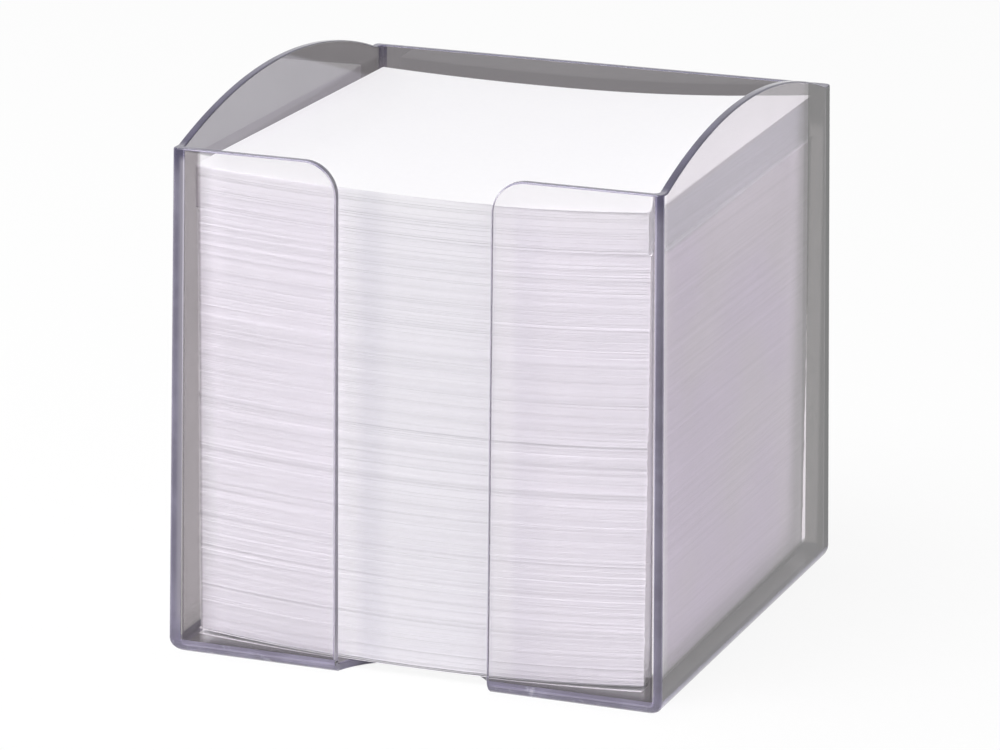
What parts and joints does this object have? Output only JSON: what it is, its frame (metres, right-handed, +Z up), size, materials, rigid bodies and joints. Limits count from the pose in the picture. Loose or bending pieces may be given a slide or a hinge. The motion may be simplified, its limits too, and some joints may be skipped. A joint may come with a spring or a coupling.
{
  "type": "memo holder",
  "caption": "Clear open-topped memo box with arched side walls, a front finger slot and a thumb notch, filled with a dished stack of loose square white notes.",
  "frame": {"origin": "centre of the underside of the box, on the surface it stands on", "axes": "+Z up, -Y to the front with the finger slot, +X to the right seen from the front"},
  "size_m": [0.0988, 0.1016, 0.1049],
  "materials": {
    "clear_plastic": "clear, polished, with a faint violet tint at the edges",
    "paper": "uncoated white paper with cut edges"
  },
  "bodies": {
    "box": {"box": "clear_plastic"},
    "bottom_block": {"loose_note": "paper", "stray_note": "paper", "bottom_notes_01": "paper", "bottom_notes_02": "paper"},
    "lower_block": {"lower_notes_01": "paper", "lower_notes_02": "paper", "lower_notes_03": "paper", "lower_notes_04": "paper", "lower_notes_05": "paper", "lower_notes_06": "paper", "lower_notes_07": "paper", "lower_notes_08": "paper", "lower_notes_09": "paper", "lower_notes_10": "paper"},
    "middle_block": {"middle_notes_01": "paper", "middle_notes_02": "paper", "middle_notes_03": "paper", "middle_notes_04": "paper", "middle_notes_05": "paper", "middle_notes_06": "paper", "middle_notes_07": "paper", "middle_notes_08": "paper", "middle_notes_09": "paper", "proud_note": "paper"},
    "top_block": {"top_notes_01": "paper", "top_notes_02": "paper"},
    "top_sheet": {"top_note": "paper"}
  },
  "joints": [
    {"name": "stack_lift", "type": "slide", "parent": "box", "child": "bottom_block", "axis": [0, 0, 1], "range_m": [0, 0.11]},
    {"name": "lower_lift", "type": "slide", "parent": "bottom_block", "child": "lower_block", "axis": [0, 0, 1], "range_m": [0, 0.1]},
    {"name": "middle_lift", "type": "slide", "parent": "lower_block", "child": "middle_block", "axis": [0, 0, 1], "range_m": [0, 0.062]},
    {"name": "top_lift", "type": "slide", "parent": "middle_block", "child": "top_block", "axis": [0, 0, 1], "range_m": [0, 0.026]},
    {"name": "sheet_lift", "type": "slide", "parent": "top_block", "child": "top_sheet", "axis": [0, 0, 1], "range_m": [0, 0.02]}
  ]
}
